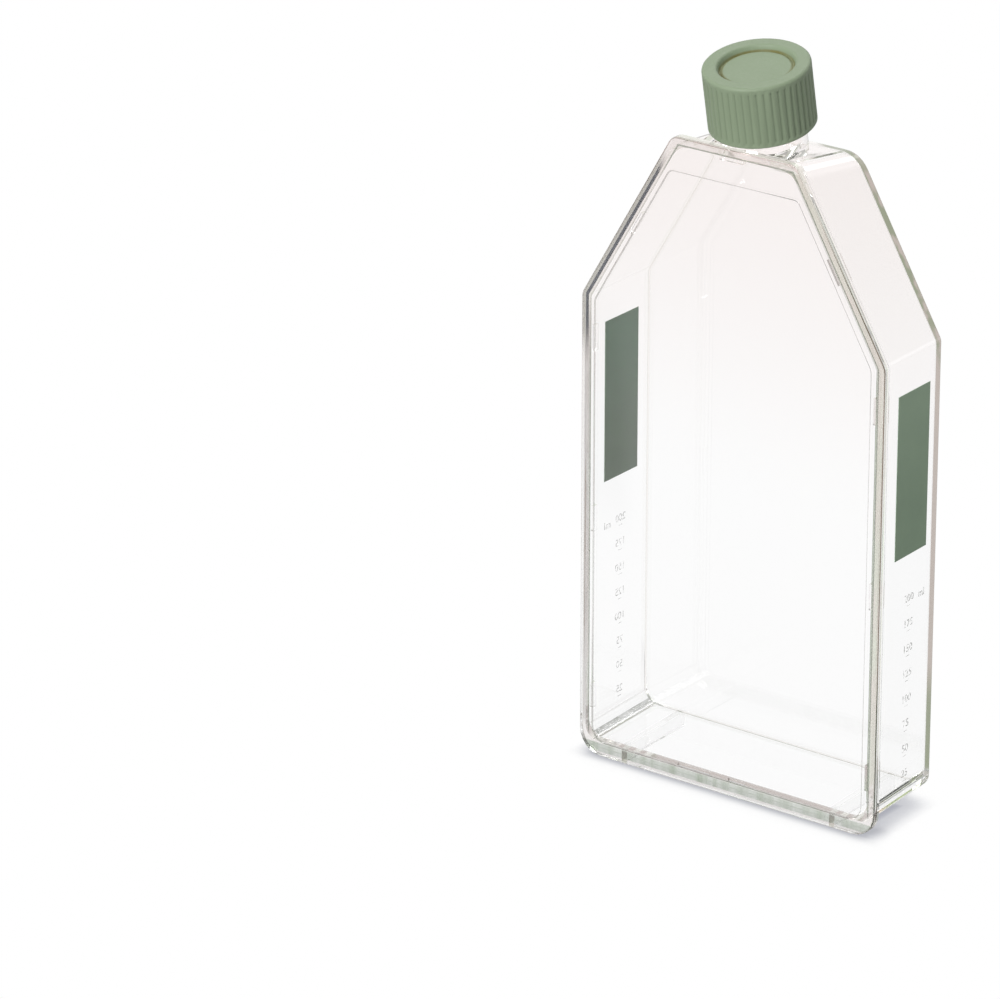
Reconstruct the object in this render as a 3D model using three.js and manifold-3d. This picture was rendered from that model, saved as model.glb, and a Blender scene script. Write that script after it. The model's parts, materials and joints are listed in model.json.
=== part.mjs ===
// Cell culture flask: a clear moulded tray with a canted screw neck, a cover plate welded over its
// open side, a ribbed screw cap and a printed writing field on each side wall.
//
// Millimetres. +X is to the right, +Y runs from the cover plate back to the growth plate and +Z is up
// along the flask, which stands on its foot. The origin is under the middle of its bounding box.
// Inside this file y = 0 is the outer face of the cover plate, until the last lines move the group.

import * as THREE from 'three';
import { mergeVertices } from 'three/addons/utils/BufferGeometryUtils.js';
import Module from 'manifold-3d';

// ---------------------------------------------------------------- driving dimensions

// outline of the front, seen square on: a rectangle with two sloping shoulders
const frontWidth = 110;          // over the flange
const frontHeight = 208.7;       // from the standing edge to the top of the flange
const shoulderHeight = 152;      // where the sides turn into the shoulders
const shoulderAngle = 30;        // of the shoulders, from the vertical, degrees
const flangeTopRadius = 4;       // outline corners
const flangeShoulderRadius = 5;
const flangeBottomRadius = 8;

// cover plate
const coverThickness = 1.8;
const panelRecess = 0.35;        // the field inside the cover plate's raised rim
const rimWidth = 4.7;            // of that rim at the sides, the shoulders and the foot
const rimWidthTop = 10.8;        // and at the top
const panelCornerRadius = 5;
const tabThickness = 0.9;        // locating tabs on the inside of the cover plate
const tabHeight = 1.7;
const tabLength = 8.4;
const tabClearance = 0.35;       // from a tab to the wall that it lies against
const topTabMiddle = -1.4;       // sideways
const sideTabPitch = 59.2;       // three tabs along each side
const sideTabFirst = 19.4;       // height of the lowest one
const shoulderTabAlong = 32.2;   // from the shoulder corner up the slope to the shoulder tab
const footSlots = [[-12, 12], [4.2, 6.4]];   // [middle, length] of the relief slots over the floor's end
const footSlotHeight = 1.1;
const footSlotDepth = 0.7;

// tray
const depth = 33;                // cover plate and tray together
const flangeThickness = 1.2;
const flangeSide = 1.2;          // how far the flange stands out past the side walls
const flangeTop = 1.2;           // past the end wall
const flangeBottom = 4.2;        // past the floor, so the flask stands on it
const wall = 1.8;
const growthPlate = 1.8;
const draft = 0.3;               // the side walls lean in by this much over the depth of the tray,
const draftTop = 3.7;            // and the end wall that carries the neck leans in more
const draftBottom = 1.0;         // than the floor does
const wallTopRadius = 9;         // outside corners of the tray, seen square on
const wallShoulderRadius = 4;
const wallBottomRadius = 4.5;
const backEdgeRadius = 0.8;      // between the walls and the growth plate, outside
const cavityBackRadius = 0.8;    // and inside
const cavityBottomRadius = 5.5;  // inside corners at the foot, seen square on
const footRibSpacing = 77.6;     // two ribs under the floor carry the back of the flask
const footRibWidth = 2.0;

// neck
const neckCant = 11.4;           // towards the cover plate, degrees
const neckBack = 16.5;           // from the cover plate to the neck's axis where it meets the end wall
const neckBoreDiameter = 22;
const neckWall = 1.9;
const neckSocketWidth = 30;      // the low wedge under the front half of the neck
const neckSocketHeight = 3.7;
const beadDiameter = 29.2;       // ring under the cap
const beadThickness = 1.0;
const beadAbovePlate = 0.3;      // clearance over the cover plate's top edge
const lipRound = 0.5;
const threadDepth = 1.0;
const threadPitch = 4.0;
const threadTurns = 1.6;
const threadRidge = 1.7;         // width of a ridge at its root
const neckThreadStart = 8.2;     // from the cap's bottom edge up to the ridge's first end

// cap
const capDiameter = 32.6;
const capHeight = 19.9;
const capTop = 2.8;              // thickness of its top at the rim
const capTopRadius = 1.0;
const capEdge = 0.25;            // chamfer at its open edge
const capWall = 1.55;
const capGap = 0.35;             // between the bead and the cap's bottom edge
const capLipGap = 0.3;           // between the neck's lip and the cap's top
const capThreadClearance = 0.25; // between the thread crests, so the cap can lift straight off
const ribCount = 46;
const ribDepth = 0.5;
const ribBandBottom = 1.3;       // plain bands under and over the ribs
const ribBandTop = 1.8;
const ribRunOut = 0.5;
const recessFloor = 22.2;        // shallow round recess in the top: diameter of its floor
const recessMouth = 25.2;        // and over its rounded edge
const recessDepth = 1.6;
const recessRound = 1.1;
const plugWall = 1.3;            // seal ring that enters the neck
const plugDepth = 4.0;
const plugClearance = 0.4;

// writing fields
const fieldWidth = 17;           // across the side wall
const fieldHeight = 52.6;
const fieldBottom = 87.6;        // height of its lower edge
const fieldFront = 9.8;          // from the cover plate's outer face to its front edge
const inkThickness = 0.12;
const inkGap = 0.05;

// ---------------------------------------------------------------- helpers

const wasm = await Module();
wasm.setup();

function toSolid(geometry) {
  const g = geometry.clone();
  for (const name of Object.keys(g.attributes)) if (name !== 'position') g.deleteAttribute(name);
  const m = mergeVertices(g, 1e-4);
  return new wasm.Manifold(new wasm.Mesh({
    numProp: 3,
    vertProperties: Float32Array.from(m.attributes.position.array),
    triVerts: Uint32Array.from(m.index.array),
  }));
}

function toGeometry(solid) {
  const mesh = solid.getMesh();
  const g = new THREE.BufferGeometry();
  g.setAttribute('position', new THREE.BufferAttribute(Float32Array.from(mesh.vertProperties), 3));
  g.setIndex(new THREE.BufferAttribute(Uint32Array.from(mesh.triVerts), 1));
  g.computeVertexNormals();
  return g;
}

const union = (...geometries) => geometries.map(toSolid).reduce((a, b) => a.add(b));

// a convex polygon, anticlockwise, with each corner rounded by its own radius
function rounded(corners, radii, steps = 6) {
  const out = [];
  corners.forEach((p, i) => {
    const a = corners[(i + corners.length - 1) % corners.length].clone().sub(p).normalize();
    const b = corners[(i + 1) % corners.length].clone().sub(p).normalize();
    const half = Math.acos(THREE.MathUtils.clamp(a.dot(b), -1, 1)) / 2;
    const radius = radii[i];
    const centre = a.clone().add(b).normalize().multiplyScalar(radius / Math.sin(half)).add(p);
    const from = a.clone().multiplyScalar(radius / Math.tan(half)).add(p).sub(centre);
    const sweep = Math.PI - 2 * half;
    for (let k = 0; k <= steps; k++) {
      const turn = sweep * k / steps;
      out.push(from.clone().rotateAround(new THREE.Vector2(), turn).add(centre));
    }
  });
  return out;
}

const slope = THREE.MathUtils.degToRad(shoulderAngle);
const shoulderNormal = new THREE.Vector2(Math.cos(slope), Math.sin(slope));
const shoulderOffset = shoulderNormal.x * frontWidth / 2 + shoulderNormal.y * shoulderHeight;

// the six corners of the flask's outline, moved in by a distance of its own on each kind of edge
function outline(side, shoulder, top, bottom, [topRadius, shoulderRadius, bottomRadius]) {
  const x = frontWidth / 2 - side;
  const reach = shoulderOffset - shoulder;
  const zShoulder = (reach - shoulderNormal.x * x) / shoulderNormal.y;
  const zTop = frontHeight - top;
  const xTop = (reach - shoulderNormal.y * zTop) / shoulderNormal.x;
  const half = [[x, bottom, bottomRadius], [x, zShoulder, shoulderRadius], [xTop, zTop, topRadius]];
  const all = [...half, ...half.map(([px, pz, r]) => [-px, pz, r]).reverse()];
  return rounded(all.map(([px, pz]) => new THREE.Vector2(px, pz)), all.map((c) => c[2]));
}

// a closed body through rings of points: equal counts, each ring anticlockwise seen from its last end
function loft(rings) {
  const count = rings[0].length;
  const position = rings.flat().flatMap((p) => [p.x, p.y, p.z]);
  const index = [];
  for (let k = 0; k + 1 < rings.length; k++) {
    for (let i = 0; i < count; i++) {
      const a = k * count + i;
      const b = k * count + (i + 1) % count;
      index.push(a, b, b + count, a, b + count, a + count);
    }
  }
  const flat = (ring) => {
    const n = new THREE.Vector3().subVectors(ring[Math.floor(count / 3)], ring[0])
      .cross(new THREE.Vector3().subVectors(ring[Math.floor(2 * count / 3)], ring[0])).normalize();
    const u = new THREE.Vector3().subVectors(ring[1], ring[0]).normalize();
    const v = new THREE.Vector3().crossVectors(n, u);
    return ring.map((p) => new THREE.Vector2(p.dot(u), p.dot(v)));
  };
  const last = (rings.length - 1) * count;
  for (const [a, b, c] of THREE.ShapeUtils.triangulateShape(flat(rings[0]), [])) index.push(a, c, b);
  for (const [a, b, c] of THREE.ShapeUtils.triangulateShape(flat(rings[rings.length - 1]), [])) {
    index.push(last + a, last + b, last + c);
  }
  const g = new THREE.BufferGeometry();
  g.setAttribute('position', new THREE.Float32BufferAttribute(position, 3));
  g.setIndex(index);
  return g;
}

// rings of an outline in XZ at a depth y, ordered so that a loft from back to front faces out
const ringAt = (points, y) => points.map((p) => new THREE.Vector3(p.x, y, p.y));

// a lathe body with its axis on +Z; the profile is a list of [radius, height]
function turned(profile, segments = 60) {
  const points = [...profile, profile[0]].map(([r, h]) => new THREE.Vector2(r, h));
  return new THREE.LatheGeometry(points, segments).rotateX(Math.PI / 2);
}

// a solid lathe body, closed on its own axis
function turnedSolid(profile, segments = 60) {
  const points = [[0, profile[0][1]], ...profile, [0, profile[profile.length - 1][1]]];
  return new THREE.LatheGeometry(points.map(([r, h]) => new THREE.Vector2(r, h)), segments)
    .rotateX(Math.PI / 2);
}

// a screw ridge about +Z, tapered to nothing at both ends; inward for a cap, outward for a neck
function screwRidge(root, crest, start, width, segmentsPerTurn = 36) {
  const count = Math.round(threadTurns * segmentsPerTurn);
  const bury = root < crest ? -0.3 : 0.3;
  const rings = [];
  for (let k = 0; k <= count; k++) {
    const turn = 2 * Math.PI * k / segmentsPerTurn;
    const z = start + threadPitch * k / segmentsPerTurn;
    const ease = Math.min(1, (k + 1.0) / 5, (count - k + 1.0) / 5);
    const tip = root + (crest - root) * ease;
    const half = width / 2;
    const section = [[root + bury, z - half], [root, z - half], [tip, z - half * 0.45],
      [tip, z + half * 0.45], [root, z + half], [root + bury, z + half]];
    const ring = section.map(([r, h]) => new THREE.Vector3(r * Math.cos(turn), r * Math.sin(turn), h));
    rings.push(root < crest ? ring.reverse() : ring);
  }
  return loft(rings);
}

function part(name, geometry, material) {
  const mesh = new THREE.Mesh(geometry, material);
  mesh.name = name;
  return mesh;
}

// ---------------------------------------------------------------- cover plate

const flangeRadii = [flangeTopRadius, flangeShoulderRadius, flangeBottomRadius];
const wallRadii = [wallTopRadius, wallShoulderRadius, wallBottomRadius];
const cavityRadii = [wallTopRadius, wallShoulderRadius, cavityBottomRadius + wall];
const flangeOutline = outline(0, 0, 0, 0, flangeRadii);

const coverBlank = loft([ringAt(flangeOutline, coverThickness), ringAt(flangeOutline, 0)]);
const panelOutline = outline(rimWidth, rimWidth, rimWidthTop, rimWidth,
  [panelCornerRadius / 2, panelCornerRadius, panelCornerRadius]);
const panelCut = loft([ringAt(panelOutline, panelRecess), ringAt(panelOutline, -1)]);

// the inside of the walls where they meet the cover plate, which the tabs line up with
const wallInsideSide = flangeSide + wall;
const wallInsideShoulder = flangeSide + wall;
const wallInsideTop = flangeTop + wall;
const floorInside = flangeBottom + wall;
const tabBack = coverThickness + tabHeight;
const tabInset = tabClearance + tabThickness / 2 + draft * tabHeight / (depth - coverThickness);

function tab(x, z, angle, length) {
  const g = new THREE.BoxGeometry(length, tabBack - panelRecess - 0.4, tabThickness);
  g.rotateY(-angle);
  return g.translate(x, (tabBack + panelRecess + 0.4) / 2, z);
}

const tabs = [];
for (const side of [-1, 1]) {
  for (let k = 0; k < 3; k++) {
    const x = side * (frontWidth / 2 - wallInsideSide - tabInset);
    tabs.push(tab(x, sideTabFirst + k * sideTabPitch, Math.PI / 2, tabLength));
  }
  const along = new THREE.Vector2(-shoulderNormal.y, shoulderNormal.x).multiplyScalar(shoulderTabAlong);
  const p = new THREE.Vector2(frontWidth / 2, shoulderHeight).add(along)
    .sub(shoulderNormal.clone().multiplyScalar(wallInsideShoulder + tabInset));
  tabs.push(tab(side * p.x, p.y, side * (slope + Math.PI / 2), tabLength));
}
tabs.push(tab(topTabMiddle, frontHeight - wallInsideTop - tabInset, 0, tabLength));

// the slots lie in the cover plate's inner face, over the middle of the floor's front end
const slots = footSlots.map(([middle, length]) => new THREE
  .BoxGeometry(length, 2 * footSlotDepth, footSlotHeight)
  .translate(middle, coverThickness, flangeBottom + wall / 2));

const coverPlate = union(coverBlank, ...tabs)
  .subtract(toSolid(panelCut))
  .subtract(union(...slots));

// ---------------------------------------------------------------- tray with its neck

// outline of the tray's walls at depth y, moved in by a further distance
function wallOutline(y, inset, radii) {
  const share = (y - coverThickness) / (depth - coverThickness);
  const side = flangeSide + draft * share + inset;
  return outline(side, side, flangeTop + draftTop * share + inset,
    flangeBottom + draftBottom * share + inset, radii.map((r) => Math.max(0.4, r - inset)));
}

function shell(front, back, inset, edgeRadius, radii) {
  const rings = [];
  const steps = 3;
  for (let k = 0; k <= steps; k++) {
    const a = Math.PI / 2 * k / steps;
    const y = back - edgeRadius * (1 - Math.sin(a));
    rings.push(ringAt(wallOutline(y, inset + edgeRadius * (1 - Math.cos(a)), radii), y));
  }
  rings.reverse();
  rings.push(ringAt(wallOutline(front, inset, radii), front));
  return loft(rings);
}

const flange = loft([ringAt(flangeOutline, coverThickness + flangeThickness),
  ringAt(flangeOutline, coverThickness)]);
const trayOutside = shell(coverThickness, depth, 0, backEdgeRadius, wallRadii);
const trayInside = shell(coverThickness - 1, depth - growthPlate, wall, cavityBackRadius, cavityRadii);

const ribs = [-1, 1].map((side) => {
  const front = coverThickness + flangeThickness / 2;
  const back = depth;
  const top = floorInside - wall / 3;
  return new THREE.BoxGeometry(footRibWidth, back - front, top)
    .translate(side * footRibSpacing / 2, (back + front) / 2, top / 2);
});

// the neck is made upright about its own axis, and then leant towards the cover plate
const cant = THREE.MathUtils.degToRad(neckCant);
const endWallFall = draftTop * (neckBack - coverThickness) / (depth - coverThickness);
const endWallZ = frontHeight - flangeTop - endWallFall;
const boreRadius = neckBoreDiameter / 2;
const neckRadius = boreRadius + neckWall;
const beadRadius = beadDiameter / 2;
const beadBottom = (frontHeight + beadAbovePlate - endWallZ + beadRadius * Math.sin(cant)) / Math.cos(cant);
const capBottom = beadBottom + beadThickness + capGap;
const lipHeight = capBottom + capHeight - capTop - capLipGap;
const neckRoot = -wall - neckRadius * Math.tan(cant) - draftTop / 2;

const leanOver = (g) => g.rotateX(cant).translate(0, neckBack, endWallZ);

const neckOutside = turnedSolid([
  [neckRadius, neckRoot],
  [neckRadius, beadBottom - 0.4],
  [beadRadius, beadBottom],
  [beadRadius, beadBottom + beadThickness],
  [neckRadius, beadBottom + beadThickness + 0.3],
  [neckRadius, lipHeight - lipRound],
  [neckRadius - lipRound, lipHeight],
]);
const neckThread = screwRidge(neckRadius, neckRadius + threadDepth, capBottom + neckThreadStart, threadRidge);
const bore = turnedSolid([[boreRadius, neckRoot - 6], [boreRadius, lipHeight - lipRound],
  [boreRadius + lipRound, lipHeight], [boreRadius + lipRound, lipHeight + 1]]);

const socketFront = neckBack - coverThickness - flangeThickness / 2;
const socket = new THREE.BoxGeometry(neckSocketWidth, socketFront, neckSocketHeight - neckRoot)
  .translate(0, -socketFront / 2, (neckSocketHeight + neckRoot) / 2);

const frontKeep = new THREE.BoxGeometry(2 * frontWidth, 2 * depth, 3 * frontHeight)
  .translate(0, coverThickness + depth, frontHeight);

const tray = union(flange, trayOutside, ...ribs, leanOver(neckOutside), leanOver(neckThread))
  .add(toSolid(leanOver(socket)).intersect(toSolid(frontKeep)))
  .subtract(toSolid(trayInside))
  .subtract(toSolid(leanOver(bore)));

// ---------------------------------------------------------------- cap

const capRadius = capDiameter / 2;
const skirtInside = capRadius - capWall;
const capThreadCrest = neckRadius + threadDepth + capThreadClearance;

// a ring of the ribbed skin: two points on each rib's crest and one in the groove beside it
function ribRing(radius, depthOfGroove, z) {
  const ring = [];
  for (let k = 0; k < ribCount; k++) {
    for (const [share, r] of [[0, radius], [0.46, radius], [0.73, radius - depthOfGroove]]) {
      const a = 2 * Math.PI * (k + share) / ribCount;
      ring.push(new THREE.Vector3(r * Math.cos(a), r * Math.sin(a), z));
    }
  }
  return ring;
}

const capRings = [
  ribRing(capRadius - capEdge, 0, 0),
  ribRing(capRadius, 0, capEdge),
  ribRing(capRadius, 0, ribBandBottom),
  ribRing(capRadius, ribDepth, ribBandBottom + ribRunOut),
  ribRing(capRadius, ribDepth, capHeight - ribBandTop - ribRunOut),
  ribRing(capRadius, 0, capHeight - ribBandTop),
];
for (let k = 0; k <= 3; k++) {
  const a = Math.PI / 2 * k / 3;
  capRings.push(ribRing(capRadius - capTopRadius * (1 - Math.cos(a)), 0,
    capHeight - capTopRadius * (1 - Math.sin(a))));
}
const capOutside = loft(capRings);

const plugRadius = boreRadius - plugClearance;
const ceiling = capHeight - capTop;
const capHollow = turnedSolid([[skirtInside, -1], [skirtInside, ceiling]], 48);
const plug = turned([
  [plugRadius - plugWall, ceiling + 0.5], [plugRadius - plugWall, ceiling - plugDepth],
  [plugRadius - 0.4, ceiling - plugDepth], [plugRadius, ceiling - plugDepth + 0.8],
  [plugRadius, ceiling + 0.5],
], 48);
const recessProfile = [[recessFloor / 2, capHeight - recessDepth]];
for (let k = 0; k <= 3; k++) {
  const a = Math.PI / 2 * k / 3;
  recessProfile.push([recessMouth / 2 - recessRound * Math.cos(a),
    capHeight - recessRound * (1 - Math.sin(a))]);
}
recessProfile.push([recessMouth / 2, capHeight + 1]);
const recess = turnedSolid(recessProfile, 60);
const capThread = screwRidge(skirtInside, capThreadCrest, neckThreadStart + threadPitch / 2, threadRidge);

const cap = toSolid(capOutside)
  .subtract(toSolid(capHollow))
  .add(toSolid(plug))
  .add(toSolid(capThread))
  .subtract(toSolid(recess));

// ---------------------------------------------------------------- writing fields

// a film of ink that follows the lean of its side wall
function inkFilm(side) {
  const ys = [fieldFront, fieldFront + fieldWidth];
  const at = (y, out) => {
    const lean = draft * (y - coverThickness) / (depth - coverThickness);
    return side * (frontWidth / 2 - flangeSide - lean + out);
  };
  const ring = (z) => {
    const p = [[at(ys[0], inkGap), ys[0]], [at(ys[1], inkGap), ys[1]],
      [at(ys[1], inkGap + inkThickness), ys[1]], [at(ys[0], inkGap + inkThickness), ys[0]]];
    const points = p.map(([x, y]) => new THREE.Vector3(x, y, z));
    return side > 0 ? points.reverse() : points;
  };
  return loft([ring(fieldBottom), ring(fieldBottom + fieldHeight)]);
}

// ---------------------------------------------------------------- materials and assembly

const clear = new THREE.MeshStandardMaterial({
  color: 0xf1efed, roughness: 0.06, metalness: 0, transparent: true, opacity: 0.3,
});
const capGreen = new THREE.MeshStandardMaterial({ color: 0x8c9b82, roughness: 0.55, metalness: 0 });
const inkGreen = new THREE.MeshStandardMaterial({ color: 0x6e7e6c, roughness: 0.6, metalness: 0 });

const flask = new THREE.Group();
flask.add(part('flask_body', toGeometry(tray), clear));
flask.add(part('cover_plate', toGeometry(coverPlate), clear.clone()));
flask.add(part('writing_field_left', inkFilm(-1), inkGreen));
flask.add(part('writing_field_right', inkFilm(1), inkGreen.clone()));

const capSeat = new THREE.Group();
capSeat.position.set(0, neckBack - capBottom * Math.sin(cant), endWallZ + capBottom * Math.cos(cant));
capSeat.rotation.x = cant;
capSeat.add(part('screw_cap', toGeometry(cap), capGreen));
flask.add(capSeat);

// stand the flask on z = 0 with the origin under the middle of its bounding box
flask.updateMatrixWorld(true);
const box = new THREE.Box3().setFromObject(flask, true);
flask.position.set(-(box.min.x + box.max.x) / 2, -(box.min.y + box.max.y) / 2, -box.min.z);

export default flask;
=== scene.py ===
"""Cell culture flask: a clear moulded tray, the cover plate welded over its open side, a satin
ribbed screw cap, and on each side wall a printed writing field over a filling scale.

Metres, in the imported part's frame: +X right, +Y from the cover plate to the growth plate, +Z up.
"""

import json
import math

import bpy
import bmesh
from mathutils import Matrix, Vector


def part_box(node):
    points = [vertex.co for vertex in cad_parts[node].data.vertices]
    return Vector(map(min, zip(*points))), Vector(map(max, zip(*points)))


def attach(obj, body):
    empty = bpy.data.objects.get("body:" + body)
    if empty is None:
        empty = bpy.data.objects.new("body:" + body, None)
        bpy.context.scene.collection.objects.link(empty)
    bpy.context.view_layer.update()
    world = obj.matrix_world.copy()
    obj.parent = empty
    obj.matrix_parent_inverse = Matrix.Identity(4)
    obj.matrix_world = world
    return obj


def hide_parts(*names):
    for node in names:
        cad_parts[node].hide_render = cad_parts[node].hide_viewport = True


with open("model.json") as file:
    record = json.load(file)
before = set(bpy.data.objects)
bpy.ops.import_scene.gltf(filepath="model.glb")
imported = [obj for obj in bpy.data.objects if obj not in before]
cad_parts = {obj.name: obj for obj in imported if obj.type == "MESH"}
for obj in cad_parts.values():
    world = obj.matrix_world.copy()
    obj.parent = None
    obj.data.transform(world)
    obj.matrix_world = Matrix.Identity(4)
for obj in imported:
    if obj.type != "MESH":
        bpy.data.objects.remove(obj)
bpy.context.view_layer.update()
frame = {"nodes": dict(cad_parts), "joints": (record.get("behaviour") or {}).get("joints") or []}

MM = 0.001

# ---------------------------------------------------------------- measures

_, tray_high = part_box("flask_body")
cover_low, cover_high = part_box("cover_plate")
cap_low, cap_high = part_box("screw_cap")

TAB_HEIGHT = 1.7 * MM               # of the locating tabs over the cover plate's inner face
WELD_PLANE = cover_high.y - TAB_HEIGHT
WELD_FILM = 0.02 * MM               # air left between cover plate and tray: each is a closed solid
PANEL_PLANE = cover_low.y + 0.35 * MM
FLANGE_BACK = WELD_PLANE + 1.2 * MM
SHOULDER_HEIGHT = 152 * MM
SHOULDER_ANGLE = math.radians(30)   # from the upright
RIGHT_TABS = 25 * MM                # the tabs of the right side lie past this, sideways,
TABS_FOOT = 8 * MM                  # and above this
SIDE_FILLET = 44 * MM               # the fillets between floor and side walls lie past this
OUTER_ROUND = 0.45 * MM             # of the cover plate's outer edge
STEP_ROUND = 0.12 * MM              # of the step down to its panel
STEP_FOOT = 0.35 * MM               # width of the hollow curve at the foot of that step
FINE_ROUND = 0.15 * MM              # of the tray's sharp moulded edges
FOOT_RIB_MIDDLE = 38.8 * MM         # of each rib under the floor, to either side
FOOT_RIB_REACH = 1.2 * MM           # from a rib's middle to just past its faces

CAP_AXIS = Vector(frame["joints"][0]["axis"]).normalized()
CAP_CANT = math.atan2(-CAP_AXIS.y, CAP_AXIS.z)
RECESS_FLOOR = (cap_low + cap_high) / 2 + CAP_AXIS * 8.35 * MM   # its middle, on the cap's axis
RECESS_RADIUS = 11.1 * MM
GRIP_RADIUS = cap_high.x            # of the crests of the cap's grip
GROOVE_DEPTH = 0.45 * MM            # of the fine groove round the floor of that recess
GROOVE_WIDTH = 0.7 * MM
GROOVE_RISE = 0.3 * MM              # width of its inner flank

INK_STACK = 0.17 * MM               # from the wall to the face of a writing field
INK_BITE = 0.065 * MM               # from the ink's inner face into the wall's plastic
PRINT_BITE = 0.015 * MM             # of the scale's ink into the wall
PRINT_THICKNESS = 0.05 * MM
WALL_LEAN = math.radians(0.551)     # of each side wall, towards the growth plate
SCALE_FOOT = 15.4 * MM              # height of the lowest number
SCALE_PITCH = 8.25 * MM
SCALE_STEP = 25                     # millilitres from number to number
NUMBER_SIZE = 3.5 * MM
TICK_DROP = 1.0 * MM
UNIT_HEIGHT = 72.6 * MM
UNIT_SHIFT = 6.8 * MM

WALL_SLOT, SHADED_EDGE_SLOT = 0, 1
SHADED_STEP_SLOT = WELD_AND_SHADE_SLOT = 2           # third finish of the cover plate, and of the tray
UNDERSIDE_SHADE_SLOT = 1                  # second finish of a writing field, with its painted shade

# tints and colours
CLEAR_LOW = (1.0, 1.0, 1.0)         # of a wall near the foot
CLEAR_HIGH = (0.985, 0.956, 0.947)  # and near the neck
EDGE_SHADE_ROSE = (0.64, 0.58, 0.55)      # painted shade along a rounded edge, in rose and green
EDGE_SHADE_GREEN = (0.55, 0.60, 0.51)
EDGE_DEEP_SHADE_ROSE = (0.26, 0.21, 0.19)     # deeper painted shade at the left shoulder and near the foot
EDGE_DEEP_SHADE_GREEN = (0.17, 0.22, 0.13)
BACK_EDGE_SHADE = (0.80, 0.76, 0.73)      # painted shade: a pale line along the tray's edge round its growth plate
FOOT_EDGE_SHADE = (0.07, 0.08, 0.06)      # painted shade: a dark line along the round corner at the foot of a side wall
STEP_PALE_SHADE = (0.34, 0.34, 0.32)      # painted shade in the step's thin hollow curve
STEP_DARK_SHADE = (0.04, 0.05, 0.04)      # and at the right shoulder
WELD_ROSE = (0.74, 0.67, 0.64)      # of the plastic that has melted in the seam,
WELD_LEFT_SHADE = (0.17, 0.13, 0.11)      # painted shade on it down the left side
WELD_GREEN = (0.13, 0.18, 0.10)     # and along the foot
LEFT_RIM_SHADE = (0.27, 0.27, 0.235)    # painted shade outside the left shoulder's hairline gap
WELD_GAP = (0.004, 0.005, 0.008)    # of that hairline gap itself
SEAM_LINE = (0.13, 0.15, 0.11)      # of the line where the seam ends
FLASH_LINE = (0.17, 0.20, 0.14)     # of the plastic pressed out inside it
GUIDE_ROSE = (0.98, 0.955, 0.945)   # at each wall that light crosses after a long way inside it
GUIDE_GREEN = (0.945, 0.975, 0.93)
GUIDE_LINE = (0.90, 0.90, 0.87)     # there, in the fine lines along the rim,
GUIDE_FOOT = (0.66, 0.62, 0.60)     # near the foot,
GUIDE_RIB = (0.90, 0.92, 0.89)      # in the two ribs under the floor
GUIDE_FOOT_SIDE = (0.42, 0.43, 0.41)    # and along the foot of the right side
BACK_ROSE = (0.54, 0.48, 0.44)      # in the right back edge
BACK_GREEN = (0.33, 0.36, 0.26)
FOOT_SHADE = (0.30, 0.31, 0.34)     # of lamplight that gets through an upright face of the foot
WALL_SHADE = (0.94, 0.94, 0.94)     # and through a wall seen edge on
CAP_GREEN = ((0.252, 0.322, 0.208), (0.270, 0.340, 0.224))
GRIP_VALLEY_SHADE = (0.212, 0.270, 0.175)     # painted shade between two ribs of the cap's grip
# painted shade in the groove round the recess's floor
GROOVE_SHADE = (0.185, 0.172, 0.05)
FIELD_GREEN = ((0.245, 0.345, 0.240), (0.285, 0.398, 0.272))
FIELD_LIT_TOP, FIELD_LIT_TURN = (0.50, 0.64, 0.48), 0.22    # painted light: what a field turns to at its top, and how far
# painted shade: a darker copy of the field's green for its face seen through the wall, lighter at
# its top as painted light
UNDERSIDE_SHADE_GREEN = ((0.018, 0.080, 0.010), (0.040, 0.112, 0.030))
UNDERSIDE_LIT_TOP, UNDERSIDE_LIT_TURN = (0.0, 0.150, 0.044), 0.6
PRINT_GREY = ((0.22, 0.24, 0.20), (0.32, 0.33, 0.28))

# where a tint starts, is full, ends and is gone: by height,
FOOT_WELD = (0.9 * MM, 1.3 * MM, 3.7 * MM, 4.3 * MM)
LEFT_WELD = (8 * MM, 12 * MM, 140 * MM, 152 * MM)
# in from the front's outline,
HAIRLINE = (0.85 * MM, 1.0 * MM, 1.9 * MM, 2.15 * MM)
SEAM_END = (2.45 * MM, 2.65 * MM, 3.0 * MM, 3.2 * MM)
FLASH = (2.95 * MM, 3.1 * MM, 3.4 * MM, 3.55 * MM)
# and out from the cap's axis
GRIP_SHADE_BAND = (GRIP_RADIUS - 1.2 * MM, GRIP_RADIUS - 0.9 * MM,
          GRIP_RADIUS - 0.45 * MM, GRIP_RADIUS - 0.1 * MM)
GROOVE_SHADE_RING = (RECESS_RADIUS - 1.3 * MM, RECESS_RADIUS - 0.6 * MM,
             RECESS_RADIUS + 0.15 * MM, RECESS_RADIUS + 0.6 * MM)

# scales of what varies, and depths of the light
TINT_PATCHES = 45.0                 # of the patches of rose and green
SMALL_PATCHES = 130.0               # and of the finer ones at the right shoulder
RIM_LINES = 1300.0                  # of the lines that run along the rim
FINE_RIM_LINES = 6500.0             # and of those in a rounded edge
RIM_LINE_DRAW = 20.0                # of both along the rim, which draws them out
GUIDED_AFTER = 3.5                  # mirrorings after which light counts as guided in the plastic
ONE_WALL = 1.5                      # crossings up to which it came straight in through one wall
FIRST_MIRRORINGS = 2.5              # mirrorings up to which the floor looks less pale
POLYSTYRENE_IOR = 1.59
SATIN_IOR = 1.5                     # of the cap's plastic and of ink

# ---------------------------------------------------------------- studio sizes

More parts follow.
